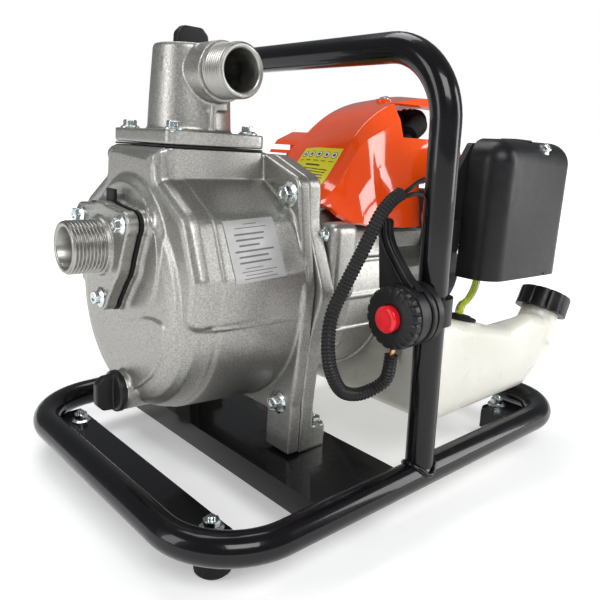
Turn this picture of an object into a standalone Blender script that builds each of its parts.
"""Portable fire pump: a small petrol engine drives a self-priming pump, both carried in a tube frame.

Units are metres. X runs along the crankshaft, away from the suction port; -Y is the operator's side;
Z is up. Every position below is measured from the middle of the base loop, on the floor. The empty
"fire_pump" then shifts the whole pump, so that the world origin is at the bottom centre of its box.
The pump and engine sit in the frame with their nose slightly up: they are modelled level, and the
empty "power_unit" tips them.
"""

import math

import bmesh
import bpy
from mathutils import Matrix, Vector

# ---- Driving dimensions -------------------------------------------------------------------------

GAP = 0.0003                      # clearance between pieces that touch
BOX_CENTRE = (0.0158, -0.0044)    # middle of the bounding box, seen from the base loop's middle

# Frame
LOOP_HALF_LENGTH = 0.180
LOOP_HALF_WIDTH = 0.137
LOOP_TUBE_RADIUS = 0.0104
LOOP_HEIGHT = 0.034
LOOP_FRONT_BEND = 0.052
LOOP_REAR_BEND = 0.040
HOOP_X = -0.008
HOOP_TUBE_RADIUS = 0.0098
HOOP_TOP = 0.316
HOOP_BEND = 0.047
FOOT_X = 0.152
FOOT_Y = 0.097
FOOT_TOP = 0.0245

# Power unit: the pump and engine, tipped about a point on the shaft
UNIT_TILT = math.radians(2.4)
UNIT_PIVOT = Vector((-0.110, 0.0, 0.153))

# Pump
SHAFT_HEIGHT = 0.153              # crankshaft and impeller axis above the floor
PORT_THREAD_RADIUS = 0.0166       # one-inch pipe thread
PORT_BORE_RADIUS = 0.0125
SUCTION_MOUTH_X = -0.1970
SUCTION_Y = -0.0025
SUCTION_HEIGHT = 0.1870
SUCTION_FACE_X = -0.1735
SUCTION_FLANGE_DEPTH = 0.0080
SUCTION_LOBE_CIRCLE = 0.0330
CASING_BOSS_X = -0.1630
CASING_FRONT_X = -0.1570
CASING_FLANGE_X = (-0.0720, -0.0625)
CASING_BOLT = (0.0640, 0.0715)    # half spacings along Y and Z
CASING_BODY_RADIUS = 0.0820
NECK_X = (-0.1460, -0.0725)
NECK_HALF_WIDTH = 0.0365
NECK_TOP = 0.2498
OUTLET_FLANGE = (0.2515, 0.2605)  # bottom and top of the discharge flange
TOWER_X = -0.1090
TOWER_TOP = 0.3140
PLUG_RECESS = 0.0045              # the filler plug's head sits this far down in the tower
DISCHARGE_MOUTH = Vector((-0.1075, -0.0560, 0.2972))
DRAIN_SEAT = Vector((-0.1620, -0.0040, 0.0890))
IMPELLER_X = (-0.0745, -0.0705)
FOOT_SPAN = (0.0520, 0.0770)      # Y span of the casing's legs and the adaptor's feet
PLATE_X = (-0.1000, -0.0275)
PLATE_TOP = 0.0425

# Engine
ADAPTOR_X = (-0.0622, -0.0500)
FAN_HOUSING_X = (-0.0497, 0.0220)
FAN_HOUSING_RADIUS = 0.0730
CYLINDER_X = 0.0880
CYLINDER_BASE = SHAFT_HEIGHT + 0.0398
CRANKCASE_X = (0.0225, 0.1180)
STARTER_X = (0.1183, 0.1500)
COVER_X = (0.0800, 0.1865)
COVER_Y = (-0.1220, -0.0905)
COVER_Z = (0.1630, 0.2695)

# Fuel tank
TANK_FRONT_X = 0.0280
TANK_Y = (-0.1160, 0.1050)
TANK_BOTTOM = 0.0500
CAP_CENTRE = Vector((0.2050, -0.1000, 0.1180))
CAP_AXIS = Vector((0.4500, 0.0, 0.8930)).normalized()

# Throttle and stop control
SWITCH_Y = -0.1360
SWITCH_Z = 0.1525
SWITCH_RADIUS = 0.0202
SWITCH_FACE_X = -0.0475

# The conduit's route, from under the control, round its loop, and up to the engine cover.
CONDUIT_RADIUS = 0.0045
CONDUIT_ROUTE = [
    (-0.0365, -0.1300, 0.1250),
    (-0.0370, -0.1295, 0.1160),
    (-0.0375, -0.1270, 0.1070),
    (-0.0440, -0.1220, 0.1005),
    (-0.0560, -0.1190, 0.0990),
    (-0.0690, -0.1180, 0.1050),
    (-0.0785, -0.1180, 0.1210),
    (-0.0815, -0.1180, 0.1390),
    (-0.0790, -0.1180, 0.1565),
    (-0.0700, -0.1180, 0.1715),
    (-0.0596, -0.1180, 0.1866),
    (-0.0492, -0.1180, 0.2020),
    (-0.0414, -0.1180, 0.2133),
    (-0.0322, -0.1180, 0.2217),
    (-0.0225, -0.1180, 0.2265),
]
HOSE_RADIUS = 0.0026
FUEL_LINE_ROUTE = [
    (0.0800, -0.0985, 0.1262),
    (0.0805, -0.0985, 0.1290),
    (0.0870, -0.0960, 0.1330),
    (0.0970, -0.0930, 0.1345),
    (0.1086, -0.0890, 0.1395),
    (0.1174, -0.0850, 0.1450),
    (0.1205, -0.0820, 0.1530),
    (0.1190, -0.0790, 0.1650),
    (0.1110, -0.0760, 0.1760),
    (0.1020, -0.0740, 0.1850),
]
RETURN_LINE_ROUTE = [
    (0.0860, -0.0925, 0.1245),
    (0.0864, -0.0923, 0.1270),
    (0.0960, -0.0880, 0.1295),
    (0.1100, -0.0830, 0.1280),
    (0.1240, -0.0800, 0.1350),
    (0.1320, -0.0770, 0.1450),
    (0.1330, -0.0730, 0.1580),
    (0.1260, -0.0690, 0.1720),
    (0.1120, -0.0660, 0.1850),
]

AXES = {"x": Vector((1, 0, 0)), "y": Vector((0, 1, 0)), "z": Vector((0, 0, 1))}
SHAFT = Vector((0.0, 0.0, SHAFT_HEIGHT))


# ---- Scene, collections and materials -----------------------------------------------------------

def clear_scene():
    for obj in list(bpy.data.objects):
        bpy.data.objects.remove(obj, do_unlink=True)


def new_collection(name):
    collection = bpy.data.collections.new(name)
    bpy.context.scene.collection.children.link(collection)
    return collection


clear_scene()
PARTS = new_collection("fire_pump")
CUTTERS = new_collection("cutters")
ROOT = bpy.data.objects.new("fire_pump", None)
ROOT.location = (-BOX_CENTRE[0], -BOX_CENTRE[1], 0.0)
PARTS.objects.link(ROOT)
UNIT = bpy.data.objects.new("power_unit", None)
UNIT.parent = ROOT
UNIT.location = UNIT_PIVOT - Matrix.Rotation(UNIT_TILT, 3, "Y") @ UNIT_PIVOT
UNIT.rotation_euler = (0.0, UNIT_TILT, 0.0)
PARTS.objects.link(UNIT)

MATERIALS = {
    # name: colour, roughness, metallic
    "black_paint": ((0.015, 0.015, 0.016), 0.22, 0.0),
    "cast_aluminium": ((0.60, 0.59, 0.57), 0.42, 0.9),
    "machined_steel": ((0.55, 0.56, 0.58), 0.3, 1.0),
    "zinc_bolt": ((0.62, 0.66, 0.68), 0.28, 1.0),
    "black_plastic": ((0.018, 0.018, 0.019), 0.45, 0.0),
    "black_rubber": ((0.012, 0.012, 0.012), 0.8, 0.0),
    "orange_plastic": ((0.80, 0.085, 0.008), 0.12, 0.0),
    "red_button": ((0.65, 0.006, 0.012), 0.25, 0.0),
    "tank_plastic": ((0.80, 0.78, 0.72), 0.38, 0.0),
    "fuel_hose": ((0.55, 0.62, 0.05), 0.2, 0.0),
    "clear_hose": ((0.75, 0.76, 0.72), 0.2, 0.0),
    "filter_foam": ((0.10, 0.10, 0.09), 0.95, 0.0),
}


def material(name):
    found = bpy.data.materials.get(name)
    if found:
        return found
    colour, roughness, metallic = MATERIALS[name]
    made = bpy.data.materials.new(name)
    made.use_nodes = True
    made.diffuse_color = (*colour, 1.0)
    shader = made.node_tree.nodes["Principled BSDF"]
    shader.inputs["Base Color"].default_value = (*colour, 1.0)
    shader.inputs["Roughness"].default_value = roughness
    shader.inputs["Metallic"].default_value = metallic
    return made


# ---- Modelling helpers --------------------------------------------------------------------------

def add_object(name, data, finish=None):
    """Links a new object: a part where it has a finish, and otherwise a hidden cutter."""
    obj = bpy.data.objects.new(name, data)
    obj.parent = ROOT
    if finish:
        PARTS.objects.link(obj)
        data.materials.append(material(finish))
    else:
        CUTTERS.objects.link(obj)
        obj.hide_render = True
        obj.display_type = "WIRE"
    return obj


def from_bmesh(name, shape, finish, smooth_angle=None):
    mesh = bpy.data.meshes.new(name)
    shape.to_mesh(mesh)
    shape.free()
    if smooth_angle:
        mesh.shade_smooth()
        mesh.set_sharp_from_angle(angle=math.radians(smooth_angle))
    return add_object(name, mesh, finish)


def block(name, low, high, finish=None, bevel=0.0, segments=2):
    """A box between two corners, with its edges rounded by a Bevel modifier."""
    low, high = Vector(low), Vector(high)
    shape = bmesh.new()
    place = Matrix.Translation((low + high) / 2) @ Matrix.Diagonal((*(high - low), 1.0))
    bmesh.ops.create_cube(shape, size=1.0, matrix=place)
    obj = from_bmesh(name, shape, finish)
    if bevel:
        round_edges(obj, bevel, segments)
    return obj


def round_edges(obj, width, segments=2):
    modifier = obj.modifiers.new("rounding", "BEVEL")
    modifier.width = width
    modifier.segments = segments
    modifier.limit_method = "ANGLE"
    modifier.angle_limit = math.radians(40)


def rod(name, start, end, radius, finish=None, end_radius=None, sides=32):
    """A cylinder or cone from one point to another."""
    start, end = Vector(start), Vector(end)
    along = end - start
    shape = bmesh.new()
    turn = along.to_track_quat("Z", "Y").to_matrix().to_4x4()
    bmesh.ops.create_cone(
        shape, cap_ends=True, segments=sides, radius1=radius,
        radius2=radius if end_radius is None else end_radius,
        depth=along.length, matrix=Matrix.Translation((start + end) / 2) @ turn)
    return from_bmesh(name, shape, finish, smooth_angle=40)


def turned(name, profile, centre, axis, finish=None, steps=32):
    """Turns a profile of (radius, height) points, listed down the outside, about an axis."""
    shape = bmesh.new()
    corners = [shape.verts.new((radius, 0.0, height)) for radius, height in profile]
    for first, second in zip(corners, corners[1:]):
        shape.edges.new((first, second))
    if profile[0][0] > 0.0 and profile[-1][0] > 0.0:
        shape.edges.new((corners[-1], corners[0]))
    obj = from_bmesh(name, shape, finish)
    screw = obj.modifiers.new("turning", "SCREW")
    screw.axis = "Z"
    screw.steps = screw.render_steps = steps
    screw.use_merge_vertices = True
    screw.merge_threshold = 0.00001
    screw.use_smooth_shade = True
    obj.location = centre
    obj.rotation_euler = Vector(axis).to_track_quat("Z", "Y").to_euler()
    return obj


def as_mesh(obj, finish=None):
    """Turns a curve object into a mesh object with its caps welded on."""
    graph = bpy.context.evaluated_depsgraph_get()
    mesh = bpy.data.meshes.new_from_object(obj.evaluated_get(graph))
    name = obj.name
    place = obj.matrix_basis.copy()
    bpy.data.objects.remove(obj, do_unlink=True)
    shape = bmesh.new()
    shape.from_mesh(mesh)
    bmesh.ops.remove_doubles(shape, verts=shape.verts, dist=0.00001)
    shape.to_mesh(mesh)
    shape.free()
    mesh.name = name
    mesh.materials.clear()
    made = add_object(name, mesh, finish)
    made.matrix_basis = place
    return made


def rounded(corners, radius, steps=4):
    """An outline whose corners are replaced by arcs; radius is one number, or one for each corner."""
    radii = [radius] * len(corners) if isinstance(radius, float) else radius
    outline = []
    for index, corner in enumerate(corners):
        here = Vector(corner)
        back = (Vector(corners[index - 1]) - here).normalized()
        ahead = (Vector(corners[(index + 1) % len(corners)]) - here).normalized()
        half = back.angle(ahead) / 2
        middle = here + (back + ahead).normalized() * radii[index] / math.sin(half)
        start = here + back * radii[index] / math.tan(half) - middle
        end = here + ahead * radii[index] / math.tan(half) - middle
        sweep = start.angle_signed(end)
        for step in range(steps + 1):
            turn = Matrix.Rotation(-sweep * step / steps, 2)
            outline.append(tuple(middle + turn @ start))
    return outline


def circle(centre, radius, sides=24):
    turns = [2 * math.pi * step / sides for step in range(sides)]
    return [(centre[0] + radius * math.cos(a), centre[1] + radius * math.sin(a)) for a in turns]


def prism(name, outline, axis, low, high, finish=None, holes=()):
    """A flat outline with holes, thickened from low to high along one axis.

    Outline points are (Y, Z) for axis x, (X, Z) for axis y and (X, Y) for axis z.
    """
    curve = bpy.data.curves.new(name, "CURVE")
    curve.dimensions = "2D"
    curve.fill_mode = "BOTH"
    curve.extrude = (high - low) / 2
    for loop in (outline, *holes):
        spline = curve.splines.new("POLY")
        spline.points.add(len(loop) - 1)
        spline.use_cyclic_u = True
        for point, (u, v) in zip(spline.points, loop):
            point.co = (u, v, 0.0, 1.0)
    obj = add_object(name, curve, finish)
    obj.location = AXES[axis] * (low + high) / 2
    turns = {"x": (90, 0, 90), "y": (90, 0, 0), "z": (0, 0, 0)}
    obj.rotation_euler = [math.radians(turn) for turn in turns[axis]]
    return as_mesh(obj, finish)


def smooth_route(points, step):
    """Points at about the given spacing on a smooth curve through the route's own points."""
    points = [Vector(point) for point in points]
    padded = [points[0] * 2 - points[1], *points, points[-1] * 2 - points[-2]]
    route = []
    for before, start, end, after in zip(padded, padded[1:], padded[2:], padded[3:]):
        count = max(1, round((end - start).length / step))
        for index in range(count):
            t = index / count
            route.append(0.5 * (
                2 * start + (end - before) * t
                + (2 * before - 5 * start + 4 * end - after) * t ** 2
                + (3 * start - before - 3 * end + after) * t ** 3))
    route.append(points[-1])
    return route


def tube(name, route, radius, finish, cyclic=False, resolution=3):
    curve = bpy.data.curves.new(name, "CURVE")
    curve.dimensions = "3D"
    curve.bevel_depth = radius
    curve.bevel_resolution = resolution
    curve.use_fill_caps = not cyclic
    spline = curve.splines.new("POLY")
    spline.points.add(len(route) - 1)
    spline.use_cyclic_u = cyclic
    for point, place in zip(spline.points, route):
        point.co = (*place, 1.0)
    return add_object(name, curve, finish)


def combine(obj, other, operation):
    modifier = obj.modifiers.new(other.name, "BOOLEAN")
    modifier.operation = operation
    modifier.solver = "EXACT"
    modifier.object = other
    return obj


def cut(obj, *cutters):
    for cutter in cutters:
        combine(obj, cutter, "DIFFERENCE")
    return obj


def join(obj, *others):
    for other in others:
        combine(obj, other, "UNION")
    return obj


def set_pivot(obj, point):
    """Puts a moving piece's origin on its joint, without moving the piece."""
    point = Vector(point)
    obj.data.transform(Matrix.Translation(-point) @ obj.matrix_basis)
    obj.matrix_basis = Matrix.Translation(point)
    return obj


def shaft_point(x, height=0.0, y=0.0):
    return Vector((x, y, SHAFT_HEIGHT + height))


# ---- Frame --------------------------------------------------------------------------------------

def bend(corner, start_angle, radius, steps=6):
    """Points round a quarter bend about its middle, in a plane."""
    angles = [math.radians(start_angle + 90 * step / steps) for step in range(steps + 1)]
    return [(corner[0] + radius * math.cos(a), corner[1] + radius * math.sin(a)) for a in angles]


def loop_route():
    rear_x = LOOP_HALF_LENGTH - LOOP_REAR_BEND
    rear_y = LOOP_HALF_WIDTH - LOOP_REAR_BEND
    front_x = LOOP_HALF_LENGTH - LOOP_FRONT_BEND
    front_y = LOOP_HALF_WIDTH - LOOP_FRONT_BEND
    flat = (bend((rear_x, rear_y), 0, LOOP_REAR_BEND)
            + bend((-front_x, front_y), 90, LOOP_FRONT_BEND)
            + bend((-front_x, -front_y), 180, LOOP_FRONT_BEND)
            + bend((rear_x, -rear_y), 270, LOOP_REAR_BEND))
    return [(x, y, LOOP_HEIGHT) for x, y in flat]


def make_base_loop():
    tube("base_loop", loop_route(), LOOP_TUBE_RADIUS, "black_paint", cyclic=True, resolution=4)


def make_handle_hoop():
    foot = LOOP_HEIGHT + LOOP_TUBE_RADIUS + GAP
    bend_y = LOOP_HALF_WIDTH - HOOP_BEND
    bend_z = HOOP_TOP - HOOP_BEND
    flat = ([(LOOP_HALF_WIDTH, foot)]
            + bend((bend_y, bend_z), 0, HOOP_BEND, steps=8)
            + bend((-bend_y, bend_z), 90, HOOP_BEND, steps=8)
            + [(-LOOP_HALF_WIDTH, foot)])
    route = [(HOOP_X, y, z) for y, z in flat]
    tube("handle_hoop", route, HOOP_TUBE_RADIUS, "black_paint", resolution=4)


def make_plates():
    """Cross members inside the base loop; each is trimmed where it meets the loop's tube."""
    clearance = as_mesh(tube("loop_clearance", loop_route(), LOOP_TUBE_RADIUS + GAP, None,
                             cyclic=True, resolution=4))
    sheet = 0.003
    bar_low, bar_high = FOOT_TOP + GAP, FOOT_TOP + 0.0045
    bar_inner_x = 0.143
    bar_half_width = 0.118
    bar = block("front_foot_bar", (-LOOP_HALF_LENGTH + 0.007, -bar_half_width, bar_low),
                (-bar_inner_x, bar_half_width, bar_high), "black_paint")
    cut(bar, clearance)

    # The pump plate is a channel: a flat top with a lip turned down at each edge.
    lip = 0.018
    left, right = PLATE_X
    section = [(left, PLATE_TOP), (left, PLATE_TOP - lip), (left + sheet, PLATE_TOP - lip),
               (left + sheet, PLATE_TOP - sheet), (right - sheet, PLATE_TOP - sheet),
               (right - sheet, PLATE_TOP - lip), (right, PLATE_TOP - lip), (right, PLATE_TOP)]
    plate = prism("pump_plate", section, "y", -LOOP_HALF_WIDTH + 0.004, LOOP_HALF_WIDTH - 0.004,
                  "black_paint")
    cut(plate, clearance)

    bracket_x = 0.131
    bracket_y = 0.094
    bracket_lip = 0.016
    far_end = LOOP_HALF_LENGTH - 0.013
    section = [(bracket_x, bar_high), (bracket_x, bar_high - bracket_lip),
               (bracket_x + sheet, bar_high - bracket_lip), (bracket_x + sheet, bar_low),
               (far_end, bar_low), (far_end, bar_high)]
    for side, name in ((-1, "near"), (1, "far")):
        low, high = sorted((side * bracket_y, side * (LOOP_HALF_WIDTH - 0.013)))
        bracket = prism(f"rear_foot_bracket_{name}", section, "y", low, high, "black_paint")
        cut(bracket, clearance)


def make_feet():
    top_radius = 0.0132
    bottom_radius = 0.0118
    chamfer = 0.002
    profile = [(0.0, FOOT_TOP), (top_radius, FOOT_TOP), (bottom_radius, chamfer),
               (bottom_radius - chamfer, 0.0), (0.0, 0.0)]
    for end, end_name in ((-1, "front"), (1, "rear")):
        for side, side_name in ((-1, "near"), (1, "far")):
            place = (end * FOOT_X, side * FOOT_Y, 0.0)
            turned(f"foot_{end_name}_{side_name}", profile, place, (0, 0, 1), "black_rubber", 24)


# ---- Pump ---------------------------------------------------------------------------------------

def mirrored(half):
    """A whole outline from its +Y half, listed from the top down."""
    return half + [(-y, z) for y, z in reversed(half)]


def flange_outline():
    """The casing's bolting flange, as (Y, Z)."""
    half = [(0.0340, NECK_TOP - 0.0010), (0.0725, 0.2350), (0.0765, 0.2050), (0.0842, 0.1650),
            (0.0815, 0.1200), (0.0760, 0.0720)]
    radii = [0.002, 0.009, 0.030, 0.030, 0.030, 0.012]
    return rounded(mirrored(half), radii + radii[::-1], steps=3)


def adaptor_outline():
    """The adaptor behind it bulges out at shaft height, as (Y, Z)."""
    half = [(0.0340, NECK_TOP - 0.0010), (0.0700, 0.2350), (0.0712, 0.2070), (0.0905, 0.1620),
            (0.0800, 0.1250), (0.0760, 0.0720)]
    radii = [0.002, 0.009, 0.014, 0.018, 0.030, 0.012]
    return rounded(mirrored(half), radii + radii[::-1], steps=3)


def make_pump_casing():
    wall = 0.006
    front, flange = CASING_FRONT_X, CASING_FLANGE_X
    radius = CASING_BODY_RADIUS
    outer = [(0.0, front - 0.0010), (0.0700, front), (0.0745, front + 0.0030),
             (0.0755, front + 0.0090), (0.0775, front + 0.0215), (0.0795, front + 0.0240),
             (0.0805, front + 0.0290), (radius, flange[0] - 0.0060), (radius, flange[0] + 0.002),
             (0.0, flange[0] + 0.002)]
    # Heights run from the flange towards the front, so the profile goes down the outside.
    profile = [(r, flange[0] - x) for r, x in outer]
    casing = turned("pump_casing", profile, shaft_point(flange[0]), (-1, 0, 0), "cast_aluminium", 48)
    bolting = prism("casing_flange_join", flange_outline(), "x", *flange)
    neck = block("casing_neck_join", (NECK_X[0], -NECK_HALF_WIDTH, SHAFT_HEIGHT + 0.010),
                 (NECK_X[1], NECK_HALF_WIDTH, NECK_TOP), bevel=0.004)
    boss = prism("suction_boss_join", suction_outline(0.0006), "x", CASING_BOSS_X, front + 0.010)
    drain_boss = rod("drain_boss_join", DRAIN_SEAT, DRAIN_SEAT + Vector((0.020, 0, 0)), 0.0135,
                     sides=24)
    join(casing, bolting, neck, boss, drain_boss)
    for side, name in ((-1, "near"), (1, "far")):
        low, high = sorted((side * FOOT_SPAN[0], side * FOOT_SPAN[1]))
        join(casing, block(f"casing_leg_{name}_join", (flange[0] + 0.0004, low, 0.0300),
                           (flange[1] - 0.0004, high, 0.0950)))

    cavity = rod("casing_cavity", shaft_point(front + wall), shaft_point(0.0),
                 radius - wall - 0.005, sides=48)
    neck_cavity = block("neck_cavity", (NECK_X[0] + wall, -NECK_HALF_WIDTH + wall, SHAFT_HEIGHT),
                        (NECK_X[1] - 0.010, NECK_HALF_WIDTH - wall, NECK_TOP + 0.010), bevel=0.003)
    inlet = rod("casing_inlet", (CASING_BOSS_X - 0.010, SUCTION_Y, SUCTION_HEIGHT),
                (-0.120, SUCTION_Y, SUCTION_HEIGHT), 0.0185)
    drain = rod("casing_drain", DRAIN_SEAT - Vector((0.010, 0, 0)), DRAIN_SEAT + Vector((0.030, 0, 0)),
                0.0085, sides=24)
    cut(casing, cavity, neck_cavity, inlet, drain, *bolt_holes("casing", -0.090, -0.050))


def casing_bolt_places():
    half_y, half_z = CASING_BOLT
    return [(side * half_y, SHAFT_HEIGHT + level * half_z) for side in (-1, 1) for level in (1, -1)]


def bolt_holes(name, start, end):
    radius = 0.0036
    return [rod(f"{name}_bolt_hole_{index}", (start, y, z), (end, y, z), radius, sides=12)
            for index, (y, z) in enumerate(casing_bolt_places())]


def suction_outline(margin=0.0):
    """A disc with three bolt lobes, about the suction port, as (Y, Z)."""
    disc = 0.0280 + margin
    lobe = 0.0085 + margin
    outline = []
    for index in range(3):
        middle = math.radians(30 + 120 * index)
        for degrees in range(-75, 76, 25):
            turn = middle + math.radians(degrees)
            outline.append((SUCTION_LOBE_CIRCLE * math.cos(middle) + lobe * math.cos(turn),
                            SUCTION_LOBE_CIRCLE * math.sin(middle) + lobe * math.sin(turn)))
        for degrees in range(42, 79, 12):
            turn = middle + math.radians(degrees)
            outline.append((disc * math.cos(turn), disc * math.sin(turn)))
    return [(y + SUCTION_Y, z + SUCTION_HEIGHT) for y, z in outline]


def make_suction_side():
    back = SUCTION_FACE_X + SUCTION_FLANGE_DEPTH
    mouth = Vector((SUCTION_MOUTH_X, SUCTION_Y, SUCTION_HEIGHT))
    flange = prism("suction_flange", suction_outline(), "x", SUCTION_FACE_X, back, "cast_aluminium")
    pipe = rod("suction_pipe_join", mouth, (SUCTION_FACE_X + 0.002, mouth.y, mouth.z),
               PORT_THREAD_RADIUS, sides=48)
    bore = rod("suction_bore", mouth - Vector((0.010, 0, 0)), (back + 0.010, mouth.y, mouth.z),
               PORT_BORE_RADIUS, sides=32)
    cut(join(flange, pipe), bore)

    window = circle((SUCTION_Y, SUCTION_HEIGHT), 0.0180, 32)
    gasket = prism("suction_gasket", suction_outline(0.0006), "x", back + GAP, CASING_BOSS_X - GAP,
                   "black_rubber", holes=[window])
    tab = block("gasket_tab_join", (back + GAP, -0.0050, SUCTION_HEIGHT + 0.0250),
                (CASING_BOSS_X - GAP, 0.0060, SUCTION_HEIGHT + 0.0355))
    join(gasket, tab)

    flap_x = CASING_BOSS_X + 0.0008
    disc = circle((SUCTION_Y, SUCTION_HEIGHT), 0.0155, 24)
    flap = prism("check_flap", disc, "x", flap_x, flap_x + 0.003, "black_rubber")
    weight = rod("flap_weight_join", (flap_x + 0.001, SUCTION_Y, SUCTION_HEIGHT - 0.001),
                 (flap_x + 0.0065, SUCTION_Y, SUCTION_HEIGHT - 0.001), 0.009, sides=24)
    join(flap, weight)
    set_pivot(flap, (flap_x + 0.0015, SUCTION_Y, SUCTION_HEIGHT + 0.0150))


def make_outlet_side():
    low_x, high_x = NECK_X
    half = NECK_HALF_WIDTH + 0.0005
    outline = rounded([(low_x, -half), (high_x, -half), (high_x, half), (low_x, half)], 0.005)
    inner = NECK_HALF_WIDTH - 0.012
    window = rounded([(low_x + 0.012, -inner), (high_x - 0.018, -inner), (high_x - 0.018, inner),
                      (low_x + 0.012, inner)], 0.004)
    prism("outlet_gasket", outline, "z", NECK_TOP + GAP, OUTLET_FLANGE[0] - GAP, "black_rubber",
          holes=[window])

    elbow = prism("discharge_elbow", outline, "z", *OUTLET_FLANGE, "cast_aluminium")
    wall = 0.007
    mouth = DISCHARGE_MOUTH
    tower = rod("tower_join", (TOWER_X, 0, OUTLET_FLANGE[1] - 0.002), (TOWER_X, 0, TOWER_TOP), 0.0275,
                end_radius=0.0240, sides=48)
    pipe = rod("discharge_pipe_join", mouth, (mouth.x, 0, mouth.z), PORT_THREAD_RADIUS, sides=48)
    inside = rod("tower_inside", (TOWER_X, 0, 0.240), (TOWER_X, 0, TOWER_TOP - PLUG_RECESS - wall),
                 0.0220, end_radius=0.0190, sides=32)
    bore = rod("discharge_bore", mouth - Vector((0, 0.01, 0)), (mouth.x, 0, mouth.z),
               PORT_BORE_RADIUS, sides=32)
    filler = rod("filler_hole", (TOWER_X, 0, TOWER_TOP - 0.020), (TOWER_X, 0, TOWER_TOP + 0.010),
                 0.0120, sides=24)
    recess = rod("filler_recess", (TOWER_X, 0, TOWER_TOP - PLUG_RECESS),
                 (TOWER_X, 0, TOWER_TOP + 0.010), 0.0155, sides=32)
    cut(join(elbow, tower, pipe), inside, bore, filler, recess)


def make_plug(name, seat, outward, wing_across, shank_radius):
    """A moulded plug: a shank in the casing, a round head, and a flat wing to turn it by."""
    head_radius = 0.0140
    head_height = 0.0045
    shank_length = 0.0100
    wing_top = 0.0165
    wing_half_length = 0.0130
    wing_half_thickness = 0.0032
    start = seat + outward * GAP
    plug = rod(name, start, start + outward * head_height, head_radius, "black_plastic", sides=24)
    shank = rod(name + "_shank_join", start - outward * shank_length,
                start + outward * 0.001, shank_radius, sides=20)
    reach = wing_across * wing_half_length + outward.cross(wing_across) * wing_half_thickness
    one, other = start + outward * 0.0030 - reach, start + outward * wing_top + reach
    wing = block(name + "_wing_join", [min(a, b) for a, b in zip(one, other)],
                 [max(a, b) for a, b in zip(one, other)], bevel=0.0015)
    join(plug, shank, wing)
    set_pivot(plug, seat)


def make_plugs():
    seat = Vector((TOWER_X, 0.0, TOWER_TOP - PLUG_RECESS))
    make_plug("filler_plug", seat, AXES["z"], AXES["x"], 0.0115)
    make_plug("drain_plug", DRAIN_SEAT, -AXES["x"], AXES["z"], 0.0080)


def make_rotor():
    """The impeller on the engine's shaft, and the volute insert round it."""
    eye_radius = 0.0140
    depth = 0.0390
    insert_back = CASING_FLANGE_X[1] - GAP
    profile = [(0.0530, 0.0), (0.0530, depth - 0.0060), (0.0505, depth - 0.0030),
               (eye_radius, depth - 0.0030), (eye_radius, depth), (0.0520, depth),
               (0.0560, depth - 0.0030), (0.0600, 0.0035), (0.0600, 0.0)]
    turned("volute_insert", profile, shaft_point(insert_back), (-1, 0, 0), "cast_aluminium", 40)

    disc_front, disc_back = IMPELLER_X
    impeller = rod("impeller", shaft_point(disc_front), shaft_point(disc_back), 0.0460,
                   "cast_aluminium")
    hub = rod("impeller_hub_join", shaft_point(disc_front - 0.0130), shaft_point(disc_back - 0.001),
              0.0100, sides=24)
    join(impeller, hub)
    vane_count = 6
    for index in range(vane_count):
        vane = prism(f"impeller_vane_{index}_join", vane_outline(360 * index / vane_count), "x",
                     disc_front - 0.0200, disc_front + 0.001)
        join(impeller, vane)
    bore = rod("impeller_bore", shaft_point(disc_front - 0.0100), shaft_point(disc_back + 0.010),
               0.0055, sides=24)
    cut(impeller, bore)
    set_pivot(impeller, shaft_point(disc_back))


def vane_outline(start_degrees):
    """A vane that sweeps backwards from the hub to the rim, as (Y, Z)."""
    inner, outer, sweep, thickness, steps = 0.0090, 0.0445, 50.0, 0.0035, 6
    sides = ([], [])
    for step in range(steps + 1):
        share = step / steps
        radius = inner + (outer - inner) * share
        angle = math.radians(start_degrees - sweep * share)
        for side, offset in zip(sides, (0.5, -0.5)):
            turn = angle + offset * thickness / radius
            side.append((radius * math.cos(turn), SHAFT_HEIGHT + radius * math.sin(turn)))
    return sides[0] + sides[1][::-1]


def make_adaptor():
    """Back plate of the pump: it carries the shaft seal, the engine, and the two feet."""
    front, back = ADAPTOR_X
    adaptor = prism("pump_adaptor", adaptor_outline(), "x", front, back, "cast_aluminium")
    inset = 0.0004
    foot_low, foot_high, foot_end, leg_top = 0.0300, 0.0630, -0.0385, 0.0950
    side_view = [(front + inset, foot_low), (foot_end, foot_low), (foot_end, foot_high),
                 (back - inset, foot_high), (back - inset, leg_top), (front + inset, leg_top)]
    for side, name in ((-1, "near"), (1, "far")):
        low, high = sorted((side * FOOT_SPAN[0], side * FOOT_SPAN[1]))
        join(adaptor, prism(f"adaptor_foot_{name}_join", side_view, "y", low, high))
    bore = rod("adaptor_bore", shaft_point(front - 0.010), shaft_point(back + 0.010), 0.0160)
    cut(adaptor, bore, *bolt_holes("adaptor", -0.090, -0.040))

    seal_profile = [(0.0155, 0.0110), (0.0155, 0.0), (0.0075, 0.0), (0.0075, 0.0110)]
    turned("shaft_seal", seal_profile, shaft_point(front + 0.0005), (1, 0, 0), "black_rubber", 24)


def level_the_feet():
    """Trims the tipped casing and adaptor, so that they stand flat on the pump plate."""
    below = block("below_the_feet", (-0.120, -0.090, 0.0), (0.0, 0.090, PLATE_TOP + GAP))
    cut(bpy.data.objects["pump_adaptor"], below)
    cut(bpy.data.objects["pump_casing"], below)


def make_casing_bolts():
    head_radius, head_height, shank_radius = 0.0058, 0.0050, 0.0030
    face = CASING_FLANGE_X[0] - GAP
    for (y, z), name in zip(casing_bolt_places(), ("upper_near", "lower_near")):
        bolt = rod(f"casing_bolt_{name}", (face - head_height, y, z), (face, y, z), head_radius,
                   "zinc_bolt", sides=6)
        shank = rod(f"casing_bolt_{name}_shank_join", (face - 0.001, y, z),
                    (ADAPTOR_X[1] + 0.002, y, z), shank_radius, sides=12)
        join(bolt, shank)


# ---- Engine -------------------------------------------------------------------------------------

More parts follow.
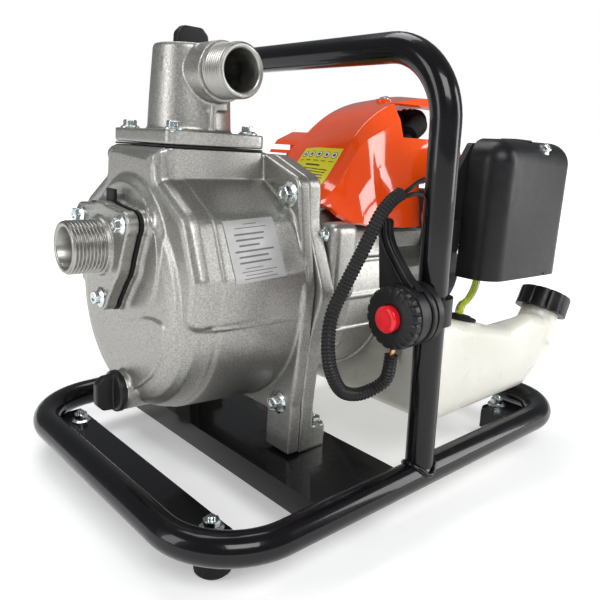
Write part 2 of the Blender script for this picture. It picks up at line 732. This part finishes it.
def make_fan_housing():
    low, high = FAN_HOUSING_X
    wall = 0.003
    hub_radius, nose_radius, rim_radius = 0.0200, 0.0520, FAN_HOUSING_RADIUS
    outer = [(rim_radius, high), (rim_radius - wall, high), (rim_radius - wall, -0.0160),
             (0.0600, -0.0390), (nose_radius - wall, low + wall), (hub_radius, low + wall),
             (hub_radius, low), (nose_radius, low), (0.0630, -0.0420), (rim_radius, -0.0180)]
    profile = [(r, high - x) for r, x in reversed(outer)]
    turned("fan_housing", profile[::-1], shaft_point(high), (-1, 0, 0), "cast_aluminium", 48)


def make_flywheel():
    low, high = -0.0220, -0.0020
    vane_count = 12
    outline = []
    for index in range(vane_count * 4):
        angle = math.radians(360 * (index - 0.5) / (vane_count * 4))
        radius = 0.0550 if index % 4 < 2 else 0.0400
        outline.append((radius * math.cos(angle), SHAFT_HEIGHT + radius * math.sin(angle)))
    bore = circle((0.0, SHAFT_HEIGHT), 0.0085)
    wheel = prism("flywheel_fan", outline, "x", low, high, "cast_aluminium", holes=[bore])
    set_pivot(wheel, shaft_point((low + high) / 2))


def make_crank():
    """The crankshaft's two halves. The pin between them is left out, where the linkage is opened."""
    web_radius = 0.0210
    shaft_radius = 0.0078
    front_web = (CYLINDER_X - 0.0140, CYLINDER_X - 0.0060)
    rear_web = (CYLINDER_X + 0.0060, CYLINDER_X + 0.0140)
    nose = IMPELLER_X[0] - 0.0085
    front = [(0.0, nose), (0.0052, nose), (0.0052, ADAPTOR_X[0]), (0.0070, ADAPTOR_X[0]),
             (0.0070, -0.0230), (shaft_radius, -0.0230), (shaft_radius, front_web[0]),
             (web_radius, front_web[0]), (web_radius, front_web[1]), (0.0, front_web[1])]
    rear = [(0.0, rear_web[0]), (web_radius, rear_web[0]), (web_radius, rear_web[1]),
            (shaft_radius, rear_web[1]), (shaft_radius, STARTER_X[0] + 0.0070),
            (0.0055, STARTER_X[0] + 0.0070), (0.0055, STARTER_X[0] + 0.0220),
            (0.0, STARTER_X[0] + 0.0220)]
    turned("crankshaft_front", front[::-1], SHAFT, (1, 0, 0), "machined_steel", 24)
    turned("crankshaft_rear", rear[::-1], SHAFT, (1, 0, 0), "machined_steel", 24)


def make_crankcase():
    low, high = CRANKCASE_X
    radius, inner, bearing = 0.0360, 0.0255, 0.0083
    deck_half = 0.0270
    crankcase = rod("crankcase", shaft_point(low), shaft_point(high), radius, "cast_aluminium")
    deck = block("crankcase_deck_join",
                 (CYLINDER_X - deck_half, -deck_half, SHAFT_HEIGHT + 0.0100),
                 (CYLINDER_X + deck_half, deck_half, CYLINDER_BASE - GAP), bevel=0.003)
    hollow = rod("crankcase_hollow", shaft_point(CYLINDER_X - 0.0170),
                 shaft_point(CYLINDER_X + 0.0170), inner)
    throat = rod("crankcase_throat", (CYLINDER_X, 0, SHAFT_HEIGHT), (CYLINDER_X, 0, CYLINDER_BASE + 0.01),
                 0.0215)
    bore = rod("crankcase_bore", shaft_point(low - 0.01), shaft_point(high + 0.01), bearing, sides=24)
    cut(join(crankcase, deck), hollow, throat, bore)


def make_cylinder():
    core, fin, bore, top = 0.0270, 0.0350, 0.0205, 0.0600
    fin_count = 4
    profile = [(0.0, top), (core - 0.004, top), (core, top - 0.004)]
    for index in range(fin_count):
        level = top - 0.009 - index * 0.0105
        profile += [(core, level), (fin, level), (fin, level - 0.0035), (core, level - 0.0035)]
    profile += [(core, 0.0), (bore, 0.0), (bore, top - 0.011), (0.0, top - 0.007)]
    barrel = turned("cylinder", profile, (CYLINDER_X, 0, CYLINDER_BASE), (0, 0, 1), "cast_aluminium",
                    28)
    port_reach = 0.0395
    exhaust_reach = 0.0655
    intake = block("cylinder_intake_join", (CYLINDER_X - 0.014, -port_reach, CYLINDER_BASE + 0.006),
                   (CYLINDER_X + 0.014, -0.0240, CYLINDER_BASE + 0.034))
    exhaust = block("cylinder_exhaust_join", (CYLINDER_X - 0.013, 0.0240, CYLINDER_BASE + 0.010),
                    (CYLINDER_X + 0.013, exhaust_reach, CYLINDER_BASE + 0.032))
    plug_hole = rod("plug_hole", (CYLINDER_X, 0, CYLINDER_BASE + top - 0.015),
                    (CYLINDER_X, 0, CYLINDER_BASE + top + 0.01), 0.0055, sides=16)
    cut(join(barrel, intake, exhaust), plug_hole)
    return CYLINDER_BASE + top


def make_piston():
    crown = CYLINDER_BASE + 0.0440
    length, radius, wall = 0.0270, 0.0202, 0.0035
    profile = [(0.0, 0.0), (radius, 0.0), (radius, -length), (radius - wall, -length),
               (radius - wall, -wall), (0.0, -wall)]
    turned("piston", profile, (CYLINDER_X, 0, crown), (0, 0, 1), "cast_aluminium", 28)
    small_end = crown - 0.0145
    big_end = small_end - 0.0560
    small_radius, big_radius, waist = 0.0075, 0.0090, 0.0035
    half_thickness = 0.0042
    steps = 8
    small = [(small_radius * math.cos(math.pi * step / steps),
              small_end + small_radius * math.sin(math.pi * step / steps))
             for step in range(steps + 1)]
    big = [(-big_radius * math.cos(math.pi * step / steps),
            big_end - big_radius * math.sin(math.pi * step / steps)) for step in range(steps + 1)]
    outline = small + [(-waist, small_end - 0.011), (-waist, big_end + 0.012)] + big
    outline += [(waist, big_end + 0.012), (waist, small_end - 0.011)]
    prism("connecting_rod", outline, "x", CYLINDER_X - half_thickness, CYLINDER_X + half_thickness,
          "machined_steel", holes=[circle((0.0, small_end), 0.0045, 12),
                                   circle((0.0, big_end), 0.0055, 12)])


def make_engine_cover():
    """One thin shell: it rises from the fan housing's rim and runs back over the cylinder."""
    crown_half_width = 0.0340
    # Each station: X and crown height, then the near and the far side, as the crown's edge height,
    # shoulder (Y, Z), side (Y, Z) and lower edge (Y, Z). The crown is higher on the near side.
    stations = [
        (-0.0260, 0.2290, (0.2190, (0.0420, 0.2165), (0.0560, 0.2140), (0.0620, 0.2110)),
         (0.2190, (0.0420, 0.2130), (0.0560, 0.2040), (0.0620, 0.1990))),
        (-0.0120, 0.2345, (0.2290, (0.0420, 0.2260), (0.0550, 0.2120), (0.0628, 0.2050)),
         (0.2285, (0.0420, 0.2220), (0.0550, 0.2090), (0.0628, 0.1986))),
        (-0.0020, 0.2440, (0.2420, (0.0415, 0.2380), (0.0540, 0.2180), (0.0630, 0.2035)),
         (0.2360, (0.0415, 0.2290), (0.0540, 0.2150), (0.0630, 0.1980))),
        (0.0060, 0.2535, (0.2530, (0.0412, 0.2485), (0.0525, 0.2250), (0.0630, 0.2018)),
         (0.2450, (0.0408, 0.2375), (0.0525, 0.2210), (0.0630, 0.1973))),
        (0.0128, 0.2610, (0.2635, (0.0412, 0.2570), (0.0510, 0.2310), (0.0630, 0.2010)),
         (0.2540, (0.0400, 0.2455), (0.0508, 0.2250), (0.0630, 0.1969))),
        (0.0220, 0.2685, (0.2735, (0.0415, 0.2640), (0.0500, 0.2380), (0.0625, 0.2002)),
         (0.2630, (0.0400, 0.2540), (0.0490, 0.2310), (0.0625, 0.1965))),
        (0.0360, 0.2800, (0.2835, (0.0420, 0.2705), (0.0500, 0.2450), (0.0625, 0.1995)),
         (0.2750, (0.0400, 0.2640), (0.0490, 0.2400), (0.0625, 0.1960))),
        (0.0520, 0.2895, (0.2915, (0.0425, 0.2790), (0.0520, 0.2530), (0.0625, 0.1988)),
         (0.2850, (0.0410, 0.2730), (0.0520, 0.2500), (0.0625, 0.1960))),
        (0.0720, 0.2970, (0.2960, (0.0435, 0.2840), (0.0550, 0.2610), (0.0620, 0.2000)),
         (0.2930, (0.0430, 0.2800), (0.0550, 0.2600), (0.0620, 0.1980))),
        (0.0950, 0.3015, (0.2990, (0.0440, 0.2860), (0.0550, 0.2620), (0.0600, 0.2050)),
         (0.2980, (0.0440, 0.2850), (0.0550, 0.2620), (0.0600, 0.2050))),
        (0.1120, 0.3010, (0.2970, (0.0440, 0.2850), (0.0540, 0.2600), (0.0580, 0.2200)),
         (0.2970, (0.0440, 0.2850), (0.0540, 0.2600), (0.0580, 0.2200))),
        (0.1240, 0.2960, (0.2920, (0.0430, 0.2800), (0.0520, 0.2550), (0.0560, 0.2250)),
         (0.2920, (0.0430, 0.2800), (0.0520, 0.2550), (0.0560, 0.2250))),
    ]
    shape = bmesh.new()
    rows = []
    for x, crown, near, far in stations:
        half_crown, edge_y = crown_half_width * 0.5, crown_half_width
        points = [(-y, z) for y, z in reversed(near[1:])]
        points += [(-edge_y, near[0]), (-half_crown, (crown + near[0]) / 2), (0.0, crown)]
        points += [(half_crown, (crown + far[0]) / 2), (edge_y, far[0]), *far[1:]]
        rows.append([shape.verts.new((x, y, z)) for y, z in points])
    for first, second in zip(rows, rows[1:]):
        for index in range(len(first) - 1):
            shape.faces.new((first[index], first[index + 1], second[index + 1], second[index]))
    bmesh.ops.recalc_face_normals(shape, faces=shape.faces)
    if sum(face.normal.z for face in shape.faces) < 0:
        bmesh.ops.reverse_faces(shape, faces=shape.faces)
    cover = from_bmesh("engine_cover", shape, "orange_plastic", smooth_angle=35)
    shell = cover.modifiers.new("shell", "SOLIDIFY")
    shell.thickness = 0.0025
    shell.offset = -1.0
    shell.use_even_offset = True
    boot_window = block("boot_window", (0.0540, -0.0800, 0.2665), (0.0960, -0.0280, 0.2925),
                        bevel=0.004)
    intake_window = block("intake_window", (0.0650, -0.0900, 0.1800), (0.1120, -0.0400, 0.2350),
                          bevel=0.004)
    exhaust_window = block("exhaust_window", (0.0680, 0.0400, 0.1800), (0.1080, 0.0900, 0.2350),
                           bevel=0.004)
    cut(cover, boot_window, intake_window, exhaust_window)


def make_muffler():
    near_y, far_y = 0.0635, 0.0960
    wall = 0.003
    block("muffler", (0.0480, 0.0660, 0.1900), (0.1100, 0.0910, 0.2520), "machined_steel",
          bevel=0.006, segments=2)
    front, back, low, top = 0.0290, 0.1200, 0.1850, 0.2680
    outline = [(front, low), (back, low), (back, top), (0.0620, top), (0.0440, 0.2600),
               (0.0370, 0.2510), (front, 0.2340)]
    inner = [(front + wall, low - 0.010), (back - wall, low - 0.010), (back - wall, top - wall),
             (0.0630, top - wall), (0.0460, 0.2575), (0.0395, 0.2495), (front + wall, 0.2335)]
    guard = prism("muffler_guard", outline, "y", near_y, far_y, "orange_plastic")
    cut(guard, prism("guard_inside", inner, "y", near_y - 0.010, far_y - wall))
    slot_count = 4
    for index in range(slot_count):
        slot = 0.2290 + index * 0.0075
        cut(guard, block(f"guard_slot_{index}", (front - 0.010, near_y + 0.0050, slot),
                         (0.0600, far_y + 0.0100, slot + 0.0045)))


def make_ignition(cylinder_top):
    seat = Vector((CYLINDER_X, 0.0, cylinder_top + GAP))
    plug_profile = [(0.0, 0.0200), (0.0030, 0.0200), (0.0042, 0.0130), (0.0042, 0.0065),
                    (0.0095, 0.0065), (0.0095, 0.0), (0.0050, 0.0), (0.0050, -0.0060), (0.0, -0.0060)]
    turned("spark_plug", plug_profile, seat, (0, 0, 1), "machined_steel", 16)
    boot = rod("plug_boot", seat + Vector((0, 0, 0.0072)), seat + Vector((0, 0, 0.0260)), 0.0085,
               "black_rubber", end_radius=0.0070, sides=20)
    arm = rod("plug_boot_arm_join", seat + Vector((0, 0, 0.0165)),
              seat + Vector((-0.0200, -0.0400, 0.0140)), 0.0062, end_radius=0.0050, sides=16)
    socket = rod("plug_boot_socket", seat, seat + Vector((0, 0, 0.0206)), 0.0048, sides=16)
    cut(join(boot, arm), socket)
    block("ignition_coil", (0.0280, -0.0480, 0.2060), (0.0480, -0.0320, 0.2320), "black_plastic",
          bevel=0.002)


def make_starter():
    low, high = STARTER_X
    radius, wall, hub = 0.0460, 0.0025, 0.0050
    housing = rod("starter_housing", shaft_point(low), shaft_point(high), radius, "black_plastic",
                  sides=40)
    round_edges(housing, 0.004, 2)
    hollow = rod("starter_hollow", shaft_point(low - 0.010), shaft_point(high - wall), radius - wall,
                 sides=40)
    boss = rod("starter_boss_join", shaft_point(high - 0.0080), shaft_point(high - 0.001), hub,
               sides=20)
    join(cut(housing, hollow), boss)

    reel_x = low + 0.0085
    reel = [(0.0340, 0.0120), (0.0340, 0.0095), (0.0270, 0.0080), (0.0270, 0.0040),
            (0.0340, 0.0025), (0.0340, 0.0), (0.0060, 0.0), (0.0060, 0.0120)]
    turned("starter_reel", reel, shaft_point(reel_x), (1, 0, 0), "black_plastic", 28)

    rope_height = 0.0150
    grip = block("pull_grip", (low + 0.0080, 0.0620, SHAFT_HEIGHT + rope_height - 0.0180),
                 (low + 0.0200, 0.0720, SHAFT_HEIGHT + rope_height + 0.0180), "black_plastic",
                 bevel=0.003)
    stem = rod("pull_grip_stem_join", (low + 0.0140, 0.0475, SHAFT_HEIGHT + rope_height),
               (low + 0.0140, 0.0640, SHAFT_HEIGHT + rope_height), 0.0042, sides=16)
    join(grip, stem)


def make_intake():
    centre_z = CYLINDER_BASE + 0.0200
    insulator_y = (-0.0520, -0.0395 - GAP)
    carb_y = (-0.0850, insulator_y[0] - GAP)
    half = 0.0140
    prism("intake_insulator",
          rounded([(CYLINDER_X - half, centre_z - half), (CYLINDER_X + half, centre_z - half),
                   (CYLINDER_X + half, centre_z + half), (CYLINDER_X - half, centre_z + half)], 0.003),
          "y", *insulator_y, "black_plastic", holes=[circle((CYLINDER_X, centre_z), 0.0080)])
    body_x = (CYLINDER_X - 0.0170, CYLINDER_X + 0.0200)
    body_top = centre_z + 0.0150
    carb = block("carburettor", (body_x[0], carb_y[0], centre_z - 0.0170),
                 (body_x[1], carb_y[1], body_top), "cast_aluminium", bevel=0.002)
    throat = rod("carburettor_throat", (CYLINDER_X, carb_y[0] - 0.01, centre_z),
                 (CYLINDER_X, carb_y[1] + 0.01, centre_z), 0.0080, sides=24)
    cut(carb, throat)

    # The throttle barrel's arm turns on top of the carburettor.
    arm_pivot = Vector((CYLINDER_X, -0.0690, body_top + GAP))
    hub, tip, tip_x = 0.0060, 0.0030, 0.0190
    arm_outline = rounded([(arm_pivot.x - hub, arm_pivot.y - hub), (arm_pivot.x + hub, arm_pivot.y - hub),
                           (arm_pivot.x + tip_x, arm_pivot.y - tip),
                           (arm_pivot.x + tip_x, arm_pivot.y + tip),
                           (arm_pivot.x + hub, arm_pivot.y + hub),
                           (arm_pivot.x - hub, arm_pivot.y + hub)], 0.0015, steps=3)
    arm = prism("throttle_arm", arm_outline, "z", arm_pivot.z, arm_pivot.z + 0.0040, "machined_steel")
    set_pivot(arm, arm_pivot)

    bulb_profile = [(0.0, 0.0085), (0.0045, 0.0075), (0.0078, 0.0040), (0.0085, 0.0), (0.0, 0.0)]
    turned("primer_bulb", bulb_profile, (body_x[0] - GAP, -0.0690, centre_z - 0.0060), (-1, 0, 0),
           "clear_hose", 20)

    plate_y = (COVER_Y[1] + GAP, carb_y[0] - GAP)
    inset = 0.004
    prism("filter_base",
          rounded([(0.0620, centre_z - 0.0200), (COVER_X[1] - inset, COVER_Z[0] + inset),
                   (COVER_X[1] - inset, COVER_Z[1] - inset), (0.0840, COVER_Z[1] - inset),
                   (0.0620, centre_z + 0.0200)], 0.004), "y", *plate_y, "black_plastic",
          holes=[circle((CYLINDER_X, centre_z), 0.0080)])

    choke_pivot = Vector((0.0700, plate_y[0] - GAP, centre_z - 0.0100))
    choke_outline = rounded([(choke_pivot.x - 0.0050, choke_pivot.z + 0.0050),
                             (choke_pivot.x - 0.0050, choke_pivot.z - 0.0180),
                             (choke_pivot.x + 0.0050, choke_pivot.z - 0.0220),
                             (choke_pivot.x + 0.0050, choke_pivot.z + 0.0050)], 0.003, steps=3)
    choke = prism("choke_lever", choke_outline, "y", choke_pivot.y - 0.0035, choke_pivot.y,
                  "black_plastic")
    set_pivot(choke, choke_pivot)


def make_air_filter():
    """A rounded cover over a foam element, held by one screw through its top near edge."""
    wall = 0.0023
    near, back = COVER_Y
    cover = block("filter_cover", (COVER_X[0], near, COVER_Z[0] - 0.040),
                  (COVER_X[1], back + 0.040, COVER_Z[1]), "black_plastic", bevel=0.018, segments=4)
    beyond = block("beyond_the_cover", (0.0, back, 0.080), (0.300, 0.0, 0.350))
    below = block("below_the_cover", (0.0, -0.200, 0.080), (0.300, 0.0, COVER_Z[0]))
    cavity = block("filter_cover_cavity", (COVER_X[0] + wall, near + wall, COVER_Z[0] + wall),
                   (COVER_X[1] - wall, back + 0.040, COVER_Z[1] - wall), bevel=0.016)
    cut(cover, beyond, below, cavity)
    block("filter_element", (0.0960, -0.1120, 0.1780), (0.1720, back - 0.0003, 0.2540), "filter_foam",
          bevel=0.002)
    edge = Vector((0.1430, near + 0.0053, COVER_Z[1] - 0.0053))
    outward = Vector((0.0, -1.0, 1.0)).normalized()
    rod("cover_screw", edge + outward * 0.0005, edge + outward * 0.0040, 0.0045, "zinc_bolt", sides=16)


# ---- Fuel ---------------------------------------------------------------------------------------

def tank_outline(inset=0.0):
    """The tank's side, as (X, Z): its top dips in the middle, and its rear end slopes up to the neck."""
    corners = [(TANK_FRONT_X + inset, TANK_BOTTOM + inset), (0.1620, TANK_BOTTOM + inset),
               (0.2170 - inset, 0.0900), (0.2110 - inset, 0.1040 - inset),
               (0.1650, 0.1140 - inset), (0.1330, 0.1080 - inset),
               (0.0550, 0.1270 - inset), (TANK_FRONT_X + inset, 0.1270 - inset)]
    radii = [0.014, 0.020, 0.006, 0.006, 0.010, 0.020, 0.010, 0.010]
    return rounded(corners, radii, steps=3)


def make_tank():
    """The tank lies under the engine: only its near part is tall, and it ends in the filler neck."""
    wall = 0.0022
    near, far = TANK_Y
    ridge_y = -0.0800
    saddle_z = 0.0960
    tank = prism("fuel_tank", tank_outline(), "y", near, far, "tank_plastic")
    round_edges(tank, 0.010, 2)
    saddle = block("tank_saddle", (0.0, ridge_y, saddle_z), (0.300, 0.200, 0.200), bevel=0.004)
    slope = [(-0.1020, 0.1120), (ridge_y, saddle_z), (0.2000, saddle_z), (0.2000, 0.2000),
             (-0.1020, 0.2000)]
    rear_slope = prism("tank_rear_slope", slope, "x", 0.1050, 0.3000)
    end_trim = block("tank_end_trim", (0.1500, -0.0650, 0.0), (0.3000, 0.2000, 0.2000), bevel=0.010)
    neck_base = CAP_CENTRE - CAP_AXIS * 0.0360
    neck_top = CAP_CENTRE - CAP_AXIS * 0.0045
    neck = rod("tank_neck_join", neck_base, neck_top, 0.0160, sides=32)
    join(cut(tank, saddle, rear_slope, end_trim), neck)

    ridge = block("tank_ridge_space", (0.0, -0.200, 0.0), (0.300, ridge_y - wall, 0.300))
    cavity = prism("tank_cavity", tank_outline(wall), "y", near + wall, far - wall)
    round_edges(cavity, 0.008, 2)
    combine(cavity, ridge, "INTERSECT")
    low_cavity = block("tank_low_cavity", (TANK_FRONT_X + wall, -0.100, TANK_BOTTOM + wall),
                       (0.1500 - wall, far - wall, saddle_z - wall), bevel=0.006)
    neck_bore = rod("tank_neck_bore", neck_base, neck_top + CAP_AXIS * 0.01, 0.0130, sides=32)
    cut(tank, cavity, low_cavity, neck_bore)

    cap_profile = [(0.0, 0.0085), (0.0205, 0.0085), (0.0220, 0.0070), (0.0225, -0.0095),
                   (0.0168, -0.0095), (0.0168, -0.0035), (0.0, -0.0035)]
    turned("fuel_cap", cap_profile, CAP_CENTRE, CAP_AXIS, "black_plastic", 36)

    grommet_place = Vector((0.0815, -0.0975, 0.1208))
    lean = Vector((0.22, 0.0, 1.0)).normalized()
    grommet = [(0.0, 0.0040), (0.0085, 0.0040), (0.0100, 0.0030), (0.0125, 0.0025),
               (0.0125, 0.0005), (0.0, 0.0005)]
    turned("tank_grommet", grommet, grommet_place, lean, "black_rubber", 24)

    for name, route, finish in (("fuel_line", FUEL_LINE_ROUTE, "fuel_hose"),
                                ("return_line", RETURN_LINE_ROUTE, "clear_hose")):
        tube(name, smooth_route(route, 0.008), HOSE_RADIUS, finish, resolution=2)


# ---- Throttle and stop control ------------------------------------------------------------------

def make_control():
    centre = Vector((0.0, SWITCH_Y, SWITCH_Z))
    dial_x = (SWITCH_FACE_X, -0.0345)
    lever_x = (dial_x[1] + GAP, -0.0295)
    body_x = (lever_x[1] + GAP, -0.0185)
    button_radius = 0.0085
    button_proud = 0.0050
    dial_depth = dial_x[1] - dial_x[0]
    chamfer = 0.002
    dial_profile = [(button_radius + GAP, dial_depth), (SWITCH_RADIUS - chamfer, dial_depth),
                    (SWITCH_RADIUS, dial_depth - chamfer), (SWITCH_RADIUS, 0.0),
                    (button_radius + GAP, 0.0)]
    turned("switch_dial", dial_profile, centre + AXES["x"] * dial_x[1], (-1, 0, 0), "black_plastic",
           40)

    button_inner = -dial_depth + 0.0045
    button = [(0.0, button_proud), (button_radius - 0.0015, button_proud),
              (button_radius, button_proud - 0.0015), (button_radius, button_inner),
              (0.0, button_inner)]
    turned("stop_button", button, centre + AXES["x"] * dial_x[0], (-1, 0, 0), "red_button", 28)

    root = SWITCH_RADIUS - 0.0012
    blade = [(-0.1475, 0.1698), (-0.1393, 0.1765), (-0.1308, 0.1856), (-0.1240, 0.1940),
             (-0.1202, 0.2020), (-0.1195, 0.2103), (-0.1150, 0.2115), (-0.1100, 0.2103),
             (-0.1120, 0.1900), (-0.1140, 0.1660)]
    arc = [(SWITCH_Y + root * math.cos(math.radians(turn)),
            SWITCH_Z + root * math.sin(math.radians(turn))) for turn in range(30, -241, -15)]
    lever = prism("throttle_lever", blade + arc, "x", *lever_x, "black_plastic")
    set_pivot(lever, centre + AXES["x"] * lever_x[0])

    clamp = rod("switch_clamp", centre + AXES["x"] * body_x[0], centre + AXES["x"] * body_x[1],
                SWITCH_RADIUS, "black_plastic", sides=40)
    strap_half_height = 0.0090
    strap = rod("switch_strap_join", (HOOP_X, -LOOP_HALF_WIDTH, SWITCH_Z - strap_half_height),
                (HOOP_X, -LOOP_HALF_WIDTH, SWITCH_Z + strap_half_height), 0.0135)
    post = rod("switch_post_clearance", (HOOP_X, -LOOP_HALF_WIDTH, 0.100),
               (HOOP_X, -LOOP_HALF_WIDTH, 0.200), HOOP_TUBE_RADIUS + GAP)
    cut(join(clamp, strap), post)

    tube("wire_conduit", smooth_route(CONDUIT_ROUTE, 0.010), CONDUIT_RADIUS, "black_plastic",
         resolution=2)


def on_power_unit(make, *arguments):
    """Builds some pieces and hangs them from the tipped empty."""
    before = set(bpy.data.objects)
    result = make(*arguments)
    for obj in set(bpy.data.objects) - before:
        obj.parent = UNIT
    return result


def main():
    make_base_loop()
    make_handle_hoop()
    make_plates()
    make_feet()
    for make in (make_pump_casing, make_suction_side, make_outlet_side, make_plugs, make_rotor,
                 make_adaptor, make_casing_bolts, make_fan_housing, make_flywheel, make_crank,
                 make_crankcase, make_piston, make_engine_cover, make_muffler, make_starter,
                 make_intake, make_air_filter):
        on_power_unit(make)
    cylinder_top = on_power_unit(make_cylinder)
    on_power_unit(make_ignition, cylinder_top)
    level_the_feet()
    make_tank()
    make_control()


main()
